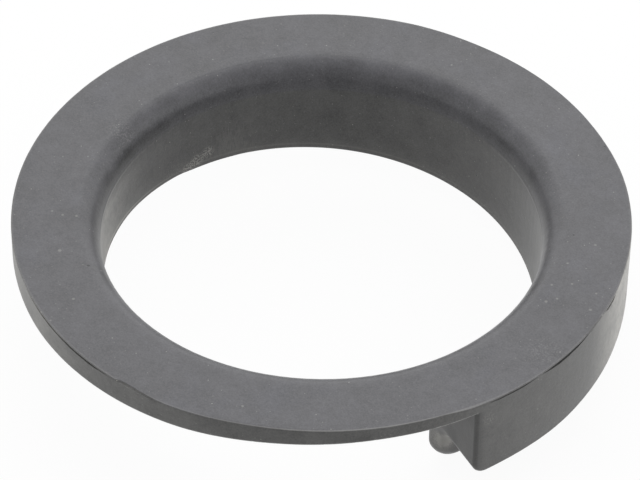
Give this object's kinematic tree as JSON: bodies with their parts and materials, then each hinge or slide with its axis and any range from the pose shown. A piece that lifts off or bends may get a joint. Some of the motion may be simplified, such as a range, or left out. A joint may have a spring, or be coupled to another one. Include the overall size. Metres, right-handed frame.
{
  "type": "coil spring insulator",
  "caption": "Moulded rubber ring with a flat face, a rounded bore mouth, a stepped helical seat for a coil spring's end coil, and a guide collar inside the coil.",
  "frame": {"origin": "on the ring's axis, level with its lowest point, which is the deep end of the guide", "axes": "+Z along the ring's axis, out of the flat face; the step of the helical seat lies in the XZ plane, on the +X side, with the thick side of the step at +Y; the seat rises anticlockwise seen from +Z"},
  "size_m": [0.15, 0.15, 0.0357],
  "materials": {
    "rubber": "matt moulded rubber, dusty"
  },
  "bodies": {
    "root": {"spring_insulator": "rubber"}
  },
  "joints": []
}
